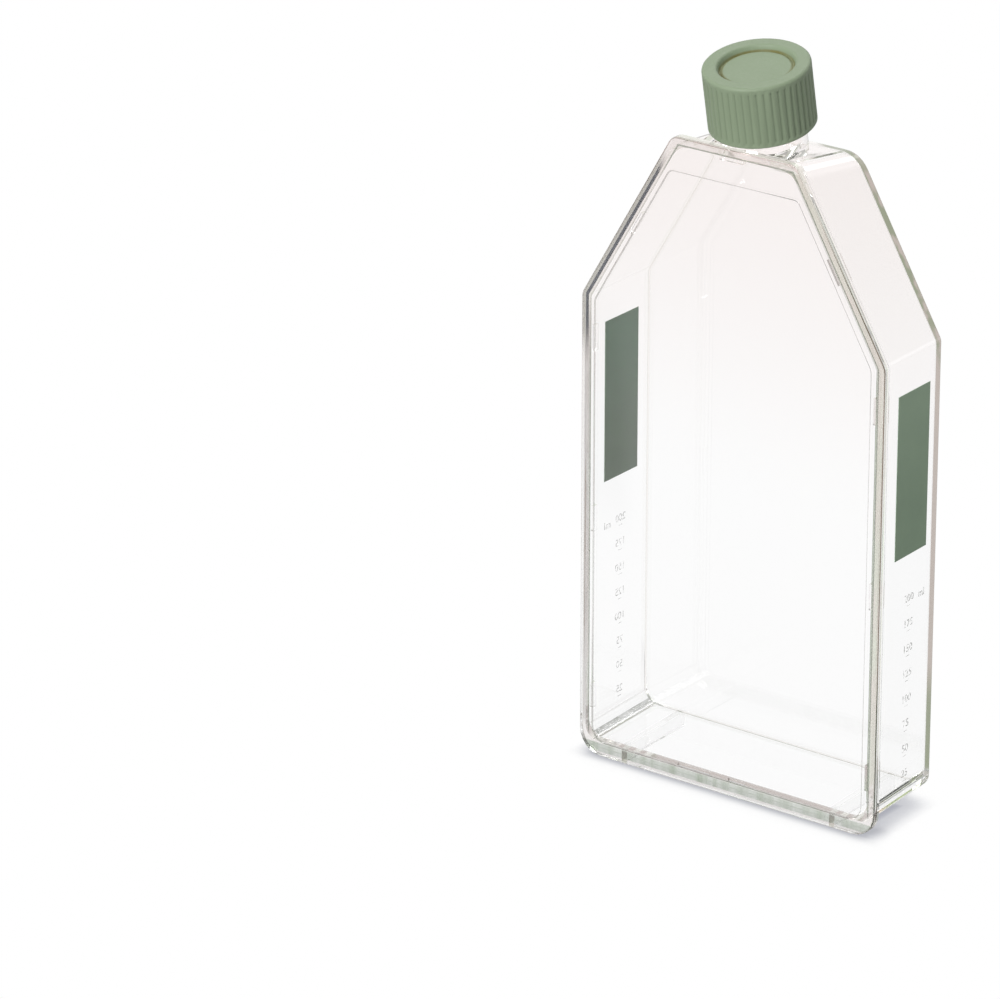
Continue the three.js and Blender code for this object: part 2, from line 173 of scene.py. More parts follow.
CAMERA_LENS = 226.14                # millimetres, on a 36 mm sensor
CAMERA_PLACE = (0.9971, -1.45284, 0.8124)
CAMERA_DIP, CAMERA_TURN = math.radians(22.223), math.radians(36.972)
KEY_LAMP = ((0.0, -4.42, 3.10), (2.6, 2.6), 210.0)      # place, size and power
BACK_LAMP = ((-1.6, 2.4, 4.6), (1.6, 1.6), 52.0)
LAMP_TARGET = (0, 0, 0.1)
ROOM_LIGHT = 0.40                   # of the world, on whatever isn't clear
CEILING_GREY = (0.50, 0.50, 0.48)   # of the grey ceiling and of the flag
CEILING_SHARE = 0.7
SOFT_BOX = (-0.07, 0.74, 0.67)      # towards the soft box that glints in the shoulder's corner
SOFT_BOX_EDGE = (0.968, 0.983)      # from faint to full: cosines of the angle to that direction
SOFT_BOX_STRENGTH = 3.0
SOFT_BOX_CROSSINGS = 2.5            # of the plastic, up to which it is seen
FLOOR_SIZE = 12.0
FLOOR_BOUNCE = 0.5                  # share of its light that the floor gives back to the flask
FLOOR_LIFT = 0.10                   # of its own, where it is seen, so it stays white
FLOOR_GAP = 0.05 * MM               # of air under the foot
FLOOR_FALL = (0.27, 0.42, 0.55, 0.28)   # from and to, forwards, and how pale it is at each
CARD_SLANT = 0.753                  # of the dark card on the floor, across for each metre forwards
CARD_ACROSS = (-0.016, -0.026)      # its right edge
CARD_FORWARD = (0.15, 0.20, 0.32, 0.36)     # where it starts and ends, forwards
CARD_SHARE = 0.05                   # of the floor's paleness that is left on it
CONTACT_REACH = 8 * MM              # of the contact shadow
CONTACT_SHADE = (0.42, 0.43, 0.48)
SHADOW_WIDTH = 6 * MM               # past the foot, where it ends
SEEN_WHITE = 0.7                    # least share of plain white in the floor, under the flask


# ---------------------------------------------------------------- helpers for shaping

def only(obj):
    """Leaves obj alone selected and active."""
    if bpy.context.object and bpy.context.object.mode != "OBJECT":
        bpy.ops.object.mode_set(mode="OBJECT")
    bpy.ops.object.select_all(action="DESELECT")
    obj.hide_set(False)
    obj.select_set(True)
    bpy.context.view_layer.objects.active = obj


def merged_copy(node, name, finishes, flat=0.4):
    """The node's solid as a mesh of its own, its doubles merged and its flat faces joined up."""
    piece = bpy.data.objects.new(name, frame["nodes"][node].data.copy())
    piece.data.name = name
    piece.data.materials.clear()
    for finish in finishes:
        piece.data.materials.append(finish)
    bpy.context.scene.collection.objects.link(piece)
    only(piece)
    bpy.ops.object.mode_set(mode="EDIT")
    bpy.ops.mesh.select_all(action="SELECT")
    bpy.ops.mesh.remove_doubles(threshold=0.001 * MM)
    bpy.ops.mesh.dissolve_limited(angle_limit=math.radians(flat))
    bpy.ops.object.mode_set(mode="OBJECT")
    return piece


def select_faces(piece, wanted):
    """Edit mode with just the wanted faces selected."""
    only(piece)
    bpy.ops.object.mode_set(mode="EDIT")
    bpy.ops.mesh.select_mode(type="FACE")
    bpy.ops.mesh.select_all(action="DESELECT")
    mesh = bmesh.from_edit_mesh(piece.data)
    for face in mesh.faces:
        face.select = wanted(face)
    mesh.select_flush_mode()
    bmesh.update_edit_mesh(piece.data)


def select_edges(piece, wanted):
    """Edit mode with just the edges selected whose two faces wanted() accepts, in either order."""
    only(piece)
    bpy.ops.object.mode_set(mode="EDIT")
    bpy.ops.mesh.select_mode(type="EDGE")
    bpy.ops.mesh.select_all(action="DESELECT")
    mesh = bmesh.from_edit_mesh(piece.data)
    for edge in mesh.edges:
        if len(edge.link_faces) == 2:
            first, second = edge.link_faces
            edge.select = wanted(first, second) or wanted(second, first)
    mesh.select_flush_mode()
    bmesh.update_edit_mesh(piece.data)


def finish_selected(piece, slot):
    """Gives the faces selected in edit mode a finish, and leaves edit mode."""
    piece.active_material_index = slot
    bpy.ops.object.material_slot_assign()
    bpy.ops.object.mode_set(mode="OBJECT")


def round_selected(width, steps):
    """Rounds the edges selected in edit mode with the edge finish, and leaves edit mode."""
    bpy.ops.mesh.bevel(offset=width, segments=steps, affect="EDGES", clamp_overlap=True,
                       material=SHADED_EDGE_SLOT)
    bpy.ops.object.mode_set(mode="OBJECT")


def smooth(piece, angle=30):
    """Smooths what curves and keeps the large flat faces flat."""
    only(piece)
    bpy.ops.object.shade_smooth_by_angle(angle=math.radians(angle))
    flatten = piece.modifiers.new("flat faces stay flat", "WEIGHTED_NORMAL")
    flatten.keep_sharp = True
    flatten.weight = 80
    bpy.ops.object.modifier_apply(modifier=flatten.name)


def low_y(face):
    return min(v.co.y for v in face.verts)


def high_y(face):
    return max(v.co.y for v in face.verts)


def at(value, plane):
    return abs(value - plane) < 0.01 * MM


# ---------------------------------------------------------------- helpers for materials

def new_material(name):
    """An empty node material, with its tree and its output node."""
    material = bpy.data.materials.new(name)
    material.use_nodes = True
    tree = material.node_tree
    tree.nodes.clear()
    return material, tree, tree.nodes.new("ShaderNodeOutputMaterial")


def new_group(name, inputs, outputs):
    """An empty shader node group with named sockets, and its input and output nodes."""
    tree = bpy.data.node_groups.new(name, "ShaderNodeTree")
    for label, kind in inputs.items():
        tree.interface.new_socket(name=label, in_out="INPUT", socket_type="NodeSocket" + kind)
    for label, kind in outputs.items():
        tree.interface.new_socket(name=label, in_out="OUTPUT", socket_type="NodeSocket" + kind)
    return tree, tree.nodes.new("NodeGroupInput").outputs, tree.nodes.new("NodeGroupOutput").inputs


def add(tree, kind, values=(), **settings):
    """A node with its settings and its plain input values."""
    node = tree.nodes.new(kind)
    for key, value in settings.items():
        setattr(node, key, value)
    for key, value in dict(values).items():
        node.inputs[key].default_value = value
    return node


def mix_colour(tree, factor, a, b):
    """A colour between a and b, each a colour or a socket, by a factor socket."""
    node = add(tree, "ShaderNodeMix", data_type="RGBA")
    tree.links.new(factor, node.inputs["Factor"])
    for name, colour in (("A", a), ("B", b)):
        if isinstance(colour, tuple):
            node.inputs[name].default_value = (*colour, 1)
        else:
            tree.links.new(colour, node.inputs[name])
    return node.outputs["Result"]


def maths(tree, operation, a, b=None):
    """A sum on one or two values, each a number or a socket."""
    node = add(tree, "ShaderNodeMath", operation=operation)
    for i, value in enumerate((a, b)):
        if isinstance(value, (int, float)):
            node.inputs[i].default_value = value
        elif value is not None:
            tree.links.new(value, node.inputs[i])
    return node.outputs[0]


def ranged(tree, value, low, high, start=0.0, end=1.0, kind="LINEAR"):
    """The value carried over from low and high to start and end, and held there past them."""
    node = add(tree, "ShaderNodeMapRange", {"From Min": low, "From Max": high,
                                            "To Min": start, "To Max": end},
               interpolation_type=kind)
    tree.links.new(value, node.inputs["Value"])
    return node.outputs["Result"]


def soft(tree, value, low, high, start=0.0, end=1.0):
    """The same, easing in and out."""
    return ranged(tree, value, low, high, start, end, "SMOOTHSTEP")


def noise(tree, place, scale, detail=2.0, roughness=0.5, stretch=(1, 1, 1)):
    """Noise over the piece, drawn out along an axis where its stretch is under 1. Its scale is a
    number or a group's input."""
    mapping = add(tree, "ShaderNodeMapping", {"Scale": stretch})
    tree.links.new(place, mapping.inputs["Vector"])
    node = add(tree, "ShaderNodeTexNoise", {"Detail": detail, "Roughness": roughness})
    if isinstance(scale, (int, float)):
        node.inputs["Scale"].default_value = scale
    else:
        tree.links.new(scale, node.inputs["Scale"])
    tree.links.new(mapping.outputs["Vector"], node.inputs["Vector"])
    return node.outputs["Fac"]


# ---------------------------------------------------------------- effects that finishes share

def satin_grain_group():
    """Fine grain and soft clouds of a satin coloured surface, for moulded plastic and for ink."""
    tree, given, gives = new_group(
        "satin_grain",
        {"Place": "Vector", "Dark": "Color", "Light": "Color", "Cloud Scale": "Float",
         "Grain Scale": "Float", "Smoothest": "Float", "Roughest": "Float"},
        {"Colour": "Color", "Roughness": "Float", "Grain": "Float"})
    link = tree.links.new
    grain = noise(tree, given["Place"], given["Grain Scale"], 3.0, 0.55)
    cloud = noise(tree, given["Place"], given["Cloud Scale"], 3.0, 0.5)
    shade = maths(tree, "ADD", maths(tree, "MULTIPLY", ranged(tree, cloud, 0.3, 0.7), 0.7),
                  maths(tree, "MULTIPLY", ranged(tree, grain, 0.3, 0.7), 0.3))
    link(mix_colour(tree, shade, given["Dark"], given["Light"]), gives["Colour"])
    gloss = add(tree, "ShaderNodeMix", data_type="FLOAT")
    link(ranged(tree, grain, 0.3, 0.7), gloss.inputs["Factor"])
    link(given["Smoothest"], gloss.inputs["A"])
    link(given["Roughest"], gloss.inputs["B"])
    link(gloss.outputs["Result"], gives["Roughness"])
    link(grain, gives["Grain"])
    return tree


def handling_marks_group():
    """Hairline rubs and finger marks, which dull a surface here and there."""
    tree, given, gives = new_group(
        "handling_marks", {"Place": "Vector", "Patch Scale": "Float", "Rub Scale": "Float"},
        {"Marks": "Float"})
    patches = soft(tree, noise(tree, given["Place"], given["Patch Scale"], 2.0, 0.5), 0.48, 0.66)
    rubs = ranged(tree, noise(tree, given["Place"], given["Rub Scale"], 3.0, 0.6, (0.12, 1, 1)),
                  0.5, 0.72)
    tree.links.new(maths(tree, "MULTIPLY", patches, rubs), gives["Marks"])
    return tree


def moulding_flow_group():
    """How clear plastic has flowed in its mould: slow waves, and fine streaks drawn up the wall."""
    tree, given, gives = new_group(
        "moulding_flow", {"Place": "Vector", "Wave Scale": "Float", "Streak Scale": "Float"},
        {"Waves": "Float", "Streaks": "Float"})
    tree.links.new(noise(tree, given["Place"], given["Wave Scale"], 2.0, 0.4), gives["Waves"])
    tree.links.new(noise(tree, given["Place"], given["Streak Scale"], 3.0, 0.6, (1, 1, 0.08)),
                   gives["Streaks"])
    return tree


SATIN_GRAIN = satin_grain_group()
HANDLING_MARKS = handling_marks_group()
MOULDING_FLOW = moulding_flow_group()


def place_group(tree, group, place, values):
    """The group in a material, with the material's own values, and its outputs."""
    node = add(tree, "ShaderNodeGroup", values, node_tree=group)
    tree.links.new(place, node.inputs["Place"])
    return node.outputs


# ---------------------------------------------------------------- clear plastic

def inset_from_outline(tree, axes):
    """How far in from the outline of the front a point lies."""
    side = maths(tree, "SUBTRACT", tray_high.x, maths(tree, "ABSOLUTE", axes["X"]))
    rise = maths(tree, "SUBTRACT", axes["Z"], SHOULDER_HEIGHT)
    slope = maths(tree, "SUBTRACT", maths(tree, "MULTIPLY", side, math.cos(SHOULDER_ANGLE)),
                  maths(tree, "MULTIPLY", rise, math.sin(SHOULDER_ANGLE)))
    top = maths(tree, "SUBTRACT", cover_high.z, axes["Z"])
    ends = maths(tree, "MINIMUM", axes["Z"], top)
    return maths(tree, "MINIMUM", ends, maths(tree, "MINIMUM", side, slope))


def band(tree, value, start, full, ends, gone):
    """1 between full and ends, falling softly to 0 at start and gone."""
    return maths(tree, "MULTIPLY", soft(tree, value, start, full), soft(tree, value, gone, ends))


def rim_lines(tree, axes, inset, scale):
    """Fine lines that run along the rim: 1 in them, 0 between."""
    along = add(tree, "ShaderNodeCombineXYZ")
    for name, value in (("X", inset), ("Y", axes["Y"]), ("Z", axes["Z"])):
        tree.links.new(value, along.inputs[name])
    drawn = noise(tree, along.outputs[0], scale, 2.0, 0.5, (1, 1, RIM_LINE_DRAW / scale))
    return ranged(tree, drawn, 0.6, 0.4)


def melted_seam(tree, axes, inset, streaks, lines, tint):
    """The welded seam: rose along the sides, green along the foot, with a hairline gap up the left
    shoulder, and painted shade that makes it deeper down the left side and greyer outside that gap.
    Gives the tint and the mask of the melted part."""
    melted = maths(tree, "MULTIPLY", soft(tree, inset, 0.4 * MM, 0.8 * MM),
                   maths(tree, "MAXIMUM", ranged(tree, streaks, 0.3, 0.7, 0.6, 1.0), lines))
    along_foot = band(tree, axes["Z"], *FOOT_WELD)
    # painted shade down the left side
    shaded_left_side = maths(tree, "MULTIPLY", soft(tree, axes["X"], -44 * MM, -50 * MM),
                      band(tree, axes["Z"], *LEFT_WELD))
    rose = mix_colour(tree, shaded_left_side, WELD_ROSE, WELD_LEFT_SHADE)
    tint = mix_colour(tree, melted, tint, mix_colour(tree, along_foot, rose, WELD_GREEN))
    left_shoulder = maths(tree, "MULTIPLY", soft(tree, axes["X"], -24 * MM, -28 * MM),
                          soft(tree, axes["Z"], 128 * MM, 142 * MM))
    off_foot = soft(tree, axes["Z"], 5 * MM, 8 * MM)
    line = maths(tree, "MULTIPLY", band(tree, inset, *SEAM_END),
                 maths(tree, "MULTIPLY", off_foot,
                       ranged(tree, left_shoulder, 0.0, 1.0, 1.0, 0.5)))
    tint = mix_colour(tree, line, tint, SEAM_LINE)
    # painted shade outside the left shoulder's hairline gap
    outside = maths(tree, "MULTIPLY", soft(tree, inset, 1.15 * MM, 0.9 * MM), left_shoulder)
    tint = mix_colour(tree, outside, tint, LEFT_RIM_SHADE)
    gap = maths(tree, "MULTIPLY", band(tree, inset, *HAIRLINE), left_shoulder)
    return mix_colour(tree, gap, tint, WELD_GAP), melted


def pressed_out(tree, axes, inset, tint):
    """The thin line of plastic that the weld has pressed out of the seam, inside the right wall
    and, half as much, the right shoulder."""
    at_seam = maths(tree, "COMPARE", axes["Y"], WELD_PLANE)
    at_seam.node.inputs[2].default_value = 0.1 * MM
    right = maths(tree, "MULTIPLY", soft(tree, axes["X"], 12 * MM, 16 * MM),
                  maths(tree, "MULTIPLY", soft(tree, axes["Z"], 8 * MM, 14 * MM),
                        soft(tree, axes["Z"], 146 * MM, 156 * MM, 1.0, 0.55)))
    line = maths(tree, "MULTIPLY", band(tree, inset, *FLASH),
                 maths(tree, "MULTIPLY", at_seam, right))
    return mix_colour(tree, line, tint, FLASH_LINE)


def lamplight_through(tree, axes, facing):
    """Tint of the lamplight that a wall lets through: nearly all, and less at the foot's upright
    faces, so the foot keeps its shadow."""
    passed = mix_colour(tree, facing, (1.0, 1.0, 1.0), WALL_SHADE)
    normal = add(tree, "ShaderNodeSeparateXYZ")
    tree.links.new(add(tree, "ShaderNodeNewGeometry").outputs["Normal"], normal.inputs[0])
    upright = maths(tree, "LESS_THAN", maths(tree, "ABSOLUTE", normal.outputs["Z"]), 0.5)
    low = soft(tree, axes["Z"], 6.5 * MM, 4 * MM)
    sides = maths(tree, "GREATER_THAN", maths(tree, "ABSOLUTE", axes["X"]), 50 * MM)
    front = maths(tree, "LESS_THAN", axes["Y"], FLANGE_BACK)
    round_foot = maths(tree, "MULTIPLY", upright, maths(tree, "MAXIMUM", sides, front))
    return mix_colour(tree, maths(tree, "MULTIPLY", low, round_foot), passed, FOOT_SHADE)


def guided_tint(tree, place, axes, lines):
    """Tint of light that has run along inside the plastic: rose and green by turns, with fine lines
    along the rim, and deeper at the foot but for its ribs. Where it came straight in through one
    wall, the right back edge and the foot of the right side are deeper still."""
    patches = soft(tree, noise(tree, place, TINT_PATCHES, 2.0, 0.5), 0.44, 0.56)
    tint = mix_colour(tree, lines, mix_colour(tree, patches, GUIDE_ROSE, GUIDE_GREEN), GUIDE_LINE)
    fine_patches = soft(tree, noise(tree, place, SMALL_PATCHES, 2.0, 0.5), 0.42, 0.58)
    green = maths(tree, "MAXIMUM", soft(tree, axes["Z"], 44 * MM, 28 * MM),
                  maths(tree, "MULTIPLY", fine_patches, soft(tree, axes["Z"], 135 * MM, 150 * MM)))
    through_once = maths(tree, "LESS_THAN",
                         add(tree, "ShaderNodeLightPath").outputs["Transmission Depth"],
                         ONE_WALL)
    right = maths(tree, "MULTIPLY", through_once, soft(tree, axes["X"], 0.0, 5 * MM))
    right_back = maths(tree, "MULTIPLY", right,
                       soft(tree, axes["Y"], tray_high.y - 6 * MM, tray_high.y - 3 * MM))
    tint = mix_colour(tree, right_back, tint, mix_colour(tree, green, BACK_ROSE, BACK_GREEN))
    foot = soft(tree, axes["Z"], 8 * MM, 5.5 * MM)
    rib = maths(tree, "COMPARE", maths(tree, "ABSOLUTE", axes["X"]), FOOT_RIB_MIDDLE)
    rib.node.inputs[2].default_value = FOOT_RIB_REACH
    tint = mix_colour(tree, foot, tint, mix_colour(tree, rib, GUIDE_FOOT, GUIDE_RIB))
    behind_flange = maths(tree, "MULTIPLY", right, soft(tree, axes["Y"], FLANGE_BACK,
                                                        FLANGE_BACK + 1 * MM))
    return mix_colour(tree, maths(tree, "MULTIPLY", foot, behind_flange), tint, GUIDE_FOOT_SIDE)


def clear_polystyrene(name, finish="wall"):
    """Clear glossy plastic. Lamps and bounced light pass straight through it, slightly dimmed, and
    light that has run along inside a wall leaves it tinted. finish: wall, edge, back, step or weld;
    edge, back and step are painted shade, and so is the weld's left side."""
    material, tree, out = new_material(name)
    link = tree.links.new
    place = add(tree, "ShaderNodeTexCoord").outputs["Object"]
    split = add(tree, "ShaderNodeSeparateXYZ")
    link(place, split.inputs[0])
    axes = split.outputs
    flow = place_group(tree, MOULDING_FLOW, place, {"Wave Scale": 38.0, "Streak Scale": 260.0})
    marks = place_group(tree, HANDLING_MARKS, place, {"Patch Scale": 30.0, "Rub Scale": 700.0})

    inset = inset_from_outline(tree, axes)
    lines = rim_lines(tree, axes, inset, RIM_LINES)

    tint = mix_colour(tree, ranged(tree, axes["Z"], 0.10, 0.20), CLEAR_LOW, CLEAR_HIGH)
    rough = maths(tree, "ADD", ranged(tree, flow["Waves"], 0.35, 0.7, 0.0, 0.010),
                  maths(tree, "MULTIPLY", marks["Marks"], 0.02))
    if finish == "wall":
        tint = pressed_out(tree, axes, inset, tint)
    # painted shade along rounded edges and the right tabs, deeper at the left shoulder and near the
    # foot
    if finish == "edge":
        patches = soft(tree, noise(tree, place, TINT_PATCHES, 2.0, 0.5), 0.5, 0.62)
        ends = maths(tree, "MAXIMUM", soft(tree, axes["Z"], 52 * MM, 34 * MM),
                     maths(tree, "MULTIPLY", soft(tree, axes["Z"], 150 * MM, 160 * MM),
                           soft(tree, axes["X"], 5 * MM, -5 * MM)))
        shade = mix_colour(tree, patches, mix_colour(tree, ends, EDGE_SHADE_ROSE, EDGE_DEEP_SHADE_ROSE),
                           mix_colour(tree, ends, EDGE_SHADE_GREEN, EDGE_DEEP_SHADE_GREEN))
        fine = rim_lines(tree, axes, inset, FINE_RIM_LINES)
        tint = mix_colour(tree, ranged(tree, fine, 0.2, 0.8, 0.15, 1.0), tint, shade)
    # painted shade: a pale line along the back edge, dark along the round foot of each side
    if finish == "back":
        side_foot = maths(tree, "MULTIPLY", soft(tree, axes["Z"], 9 * MM, 7 * MM),
                          soft(tree, maths(tree, "ABSOLUTE", axes["X"]), 44 * MM, 47 * MM))
        shade = mix_colour(tree, side_foot, BACK_EDGE_SHADE, FOOT_EDGE_SHADE)
        tint = mix_colour(tree, ranged(tree, flow["Streaks"], 0.3, 0.7, 0.6, 1.0), tint, shade)
    # painted shade: a line along the step, darker at the right shoulder
    if finish == "step":
        right = maths(tree, "MULTIPLY", soft(tree, axes["X"], 10 * MM, 22 * MM),
                      soft(tree, axes["Z"], 132 * MM, 150 * MM))
        shade = mix_colour(tree, right, STEP_PALE_SHADE, STEP_DARK_SHADE)
        tint = mix_colour(tree, ranged(tree, flow["Streaks"], 0.3, 0.7, 0.7, 1.0), tint, shade)
    if finish == "weld":
        tint, melted = melted_seam(tree, axes, inset, flow["Streaks"], lines, tint)
        rough = maths(tree, "ADD", rough, maths(tree, "MULTIPLY", melted, 0.10))

    ripple = add(tree, "ShaderNodeBump", {"Strength": 0.02, "Distance": 0.001})
    link(flow["Waves"], ripple.inputs["Height"])
    glass = add(tree, "ShaderNodeBsdfPrincipled",
                {"Transmission Weight": 1.0, "IOR": POLYSTYRENE_IOR, "Metallic": 0.0})
    link(tint, glass.inputs["Base Color"])
    link(rough, glass.inputs["Roughness"])
    link(ripple.outputs["Normal"], glass.inputs["Normal"])

    through = add(tree, "ShaderNodeBsdfTransparent")
    facing = add(tree, "ShaderNodeLayerWeight", {"Blend": 0.35}).outputs["Facing"]
    link(lamplight_through(tree, axes, facing), through.inputs["Color"])
    guided = add(tree, "ShaderNodeBsdfTransparent")
    link(guided_tint(tree, place, axes, lines), guided.inputs["Color"])

    path = add(tree, "ShaderNodeLightPath")
    has_run_far = maths(tree, "GREATER_THAN", path.outputs["Glossy Depth"], GUIDED_AFTER)
    surface = glass.outputs[0]
    for factor, other in ((path.outputs["Is Diffuse Ray"], through), (has_run_far, guided),
                          (path.outputs["Is Shadow Ray"], through)):
        choice = add(tree, "ShaderNodeMixShader")
        link(factor, choice.inputs["Fac"])
        link(surface, choice.inputs[1])
        link(other.outputs[0], choice.inputs[2])
        surface = choice.outputs[0]
    link(surface, out.inputs["Surface"])
    return material


# ---------------------------------------------------------------- coloured plastic and ink

def satin_surface(tree, place, colours, scales, rough, relief, rub):
    """A satin Principled BSDF from the shared grain and marks, and the socket of its colour."""
    satin = place_group(tree, SATIN_GRAIN, place,
                        {"Dark": (*colours[0], 1), "Light": (*colours[1], 1),
                         "Cloud Scale": scales[0], "Grain Scale": scales[1],
                         "Smoothest": rough[0], "Roughest": rough[1]})
    marks = place_group(tree, HANDLING_MARKS, place, {"Patch Scale": 80.0, "Rub Scale": 1800.0})
    bump = add(tree, "ShaderNodeBump", {"Strength": relief[0], "Distance": relief[1]})
    tree.links.new(satin["Grain"], bump.inputs["Height"])
    body = add(tree, "ShaderNodeBsdfPrincipled", {"IOR": SATIN_IOR, "Metallic": 0.0})
    dulled = maths(tree, "ADD", satin["Roughness"],
                   maths(tree, "MULTIPLY", marks["Marks"], rub))
    tree.links.new(dulled, body.inputs["Roughness"])
    tree.links.new(bump.outputs["Normal"], body.inputs["Normal"])
    tree.links.new(satin["Colour"], body.inputs["Base Color"])
    return body, satin["Colour"]


def past_glass(tree, surface, out, most_turns):
    """Puts the surface out. Light goes past it that came through clear plastic and was mirrored
    there more than most_turns times."""
    clear = add(tree, "ShaderNodeBsdfTransparent")
    choice = add(tree, "ShaderNodeMixShader")
    path = add(tree, "ShaderNodeLightPath").outputs
    tree.links.new(maths(tree, "MULTIPLY",
                         maths(tree, "GREATER_THAN", path["Glossy Depth"], most_turns + 0.5),
                         maths(tree, "GREATER_THAN", path["Transmission Depth"], 0.5)),
                   choice.inputs["Fac"])
    tree.links.new(surface, choice.inputs[1])
    tree.links.new(clear.outputs[0], choice.inputs[2])
    tree.links.new(choice.outputs[0], out.inputs["Surface"])


def cap_plastic():
    """Green satin plastic, with painted shade down between the grip's ribs and olive painted shade
    in the groove round the floor of the recess."""
    material, tree, out = new_material("cap_plastic")
    link = tree.links.new
    place = add(tree, "ShaderNodeTexCoord").outputs["Object"]
    body, colour = satin_surface(tree, place, CAP_GREEN, (60.0, 900.0), (0.44, 0.60),
                                 (0.3, 0.0002), 0.08)
    turn = Matrix.Rotation(-CAP_CANT, 3, "X")
    square_on = add(tree, "ShaderNodeMapping", {"Rotation": (-CAP_CANT, 0, 0),
                                                "Location": -(turn @ RECESS_FLOOR)})
    link(place, square_on.inputs["Vector"])
    axes = add(tree, "ShaderNodeSeparateXYZ")
    link(square_on.outputs["Vector"], axes.inputs[0])
    radius = maths(tree, "SQRT", maths(tree, "ADD", maths(tree, "POWER", axes.outputs["X"], 2.0),
                                       maths(tree, "POWER", axes.outputs["Y"], 2.0)))
    # painted shade down between the grip's ribs
    valley_shade = maths(tree, "MULTIPLY", band(tree, radius, *GRIP_SHADE_BAND),
                   soft(tree, axes.outputs["Z"], -0.3 * MM, -0.9 * MM))
    colour = mix_colour(tree, valley_shade, colour, GRIP_VALLEY_SHADE)
    # painted shade, olive, round the foot of the recess's groove
    ring = band(tree, radius, *GROOVE_SHADE_RING)
    low_in_recess = soft(tree, axes.outputs["Z"], 0.5 * MM, 0.0)
    patchy = ranged(tree, noise(tree, place, 170.0, 2.0, 0.5), 0.35, 0.6, 0.55, 0.95)
    groove_shade = maths(tree, "MULTIPLY", maths(tree, "MULTIPLY", ring, low_in_recess), patchy)
    link(mix_colour(tree, groove_shade, colour, GROOVE_SHADE), body.inputs["Base Color"])
    past_glass(tree, body.outputs[0], out, 2)
    return material


def field_ink(name, shades, top, share):
    """Screen-printed green of the writing fields, turning by that share to another at the top as
    painted light.
    """
    material, tree, out = new_material(name)
    link = tree.links.new
    place = add(tree, "ShaderNodeTexCoord").outputs["Object"]
    body, colour = satin_surface(tree, place, shades, (90.0, 1400.0), (0.50, 0.68),
                                 (0.2, 0.00005), 0.1)
    axes = add(tree, "ShaderNodeSeparateXYZ")
    link(place, axes.inputs[0])
    # painted light: lighter towards the top
    turned = soft(tree, axes.outputs["Z"], 95 * MM, 140 * MM, 0.0, share)
    link(mix_colour(tree, turned, colour, top), body.inputs["Base Color"])
    past_glass(tree, body.outputs[0], out, 0)
    return material


def scale_ink():
    """The filling scale's thin grey print, broken into specks."""
    material, tree, out = new_material("scale_print_ink")
    link = tree.links.new
    place = add(tree, "ShaderNodeTexCoord").outputs["Object"]
    body, _ = satin_surface(tree, place, PRINT_GREY, (120.0, 1600.0), (0.5, 0.7),
                            (0.2, 0.00005), 0.1)
    specks = noise(tree, place, 1500.0, 2.0, 0.6)
    link(soft(tree, specks, 0.42, 0.62, 0.08, 0.5), body.inputs["Alpha"])
    past_glass(tree, body.outputs[0], out, 0)
    return material


# ---------------------------------------------------------------- the pieces

def dress(piece, body, slot, *nodes):
    """Puts a finished piece on its CAD body and hides the solids it stands for. Its slot is not
    used.
    """
    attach(piece, body)
    if nodes:
        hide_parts(*nodes)


def make_cover():
    """The cover plate: its outer edge rounded, the step to its panel eased and given a hollow foot,
    and a film of air behind its welded face. Its rounded edge, its step and the tabs on its right
    take painted shade."""
    piece = merged_copy("cover_plate", "cover_plate_clear",
                        [clear_polystyrene("clear_cover_wall"),
                         clear_polystyrene("clear_cover_edge_shade", "edge"),
                         clear_polystyrene("clear_cover_step_shade", "step")])
    select_faces(piece, lambda f: f.normal.y > 0.9 and at(low_y(f), WELD_PLANE))
    bpy.ops.transform.translate(value=(0, -WELD_FILM, 0))

    front = lambda f: f.normal.y < -0.9 and at(low_y(f), cover_low.y)
    select_edges(piece, lambda f, g: front(f) and abs(g.normal.y) < 0.3
                 and high_y(g) > PANEL_PLANE + 0.5 * MM)
    round_selected(OUTER_ROUND, 3)

    # the step and a thin ring at its foot take painted shade
    select_faces(piece, lambda f: f.normal.y < -0.9 and at(low_y(f), PANEL_PLANE))
    finish_selected(piece, SHADED_STEP_SLOT)
    select_faces(piece, lambda f: f.normal.y < -0.9 and at(low_y(f), PANEL_PLANE))
    bpy.ops.mesh.inset(thickness=STEP_FOOT)
    finish_selected(piece, WALL_SLOT)

    step = lambda f: abs(f.normal.y) < 0.3 and at(low_y(f), cover_low.y) \
        and at(high_y(f), PANEL_PLANE)
    select_faces(piece, step)
    finish_selected(piece, SHADED_STEP_SLOT)
    select_edges(piece, lambda f, g: step(f) and front(g))
    round_selected(STEP_ROUND, 2)
    # the tabs on the right take the edge's painted shade
    select_faces(piece, lambda f: high_y(f) > WELD_PLANE + 0.5 * MM
                 and f.calc_center_median().x > RIGHT_TABS
                 and f.calc_center_median().z > TABS_FOOT)
    finish_selected(piece, SHADED_EDGE_SLOT)
    smooth(piece)
    return piece


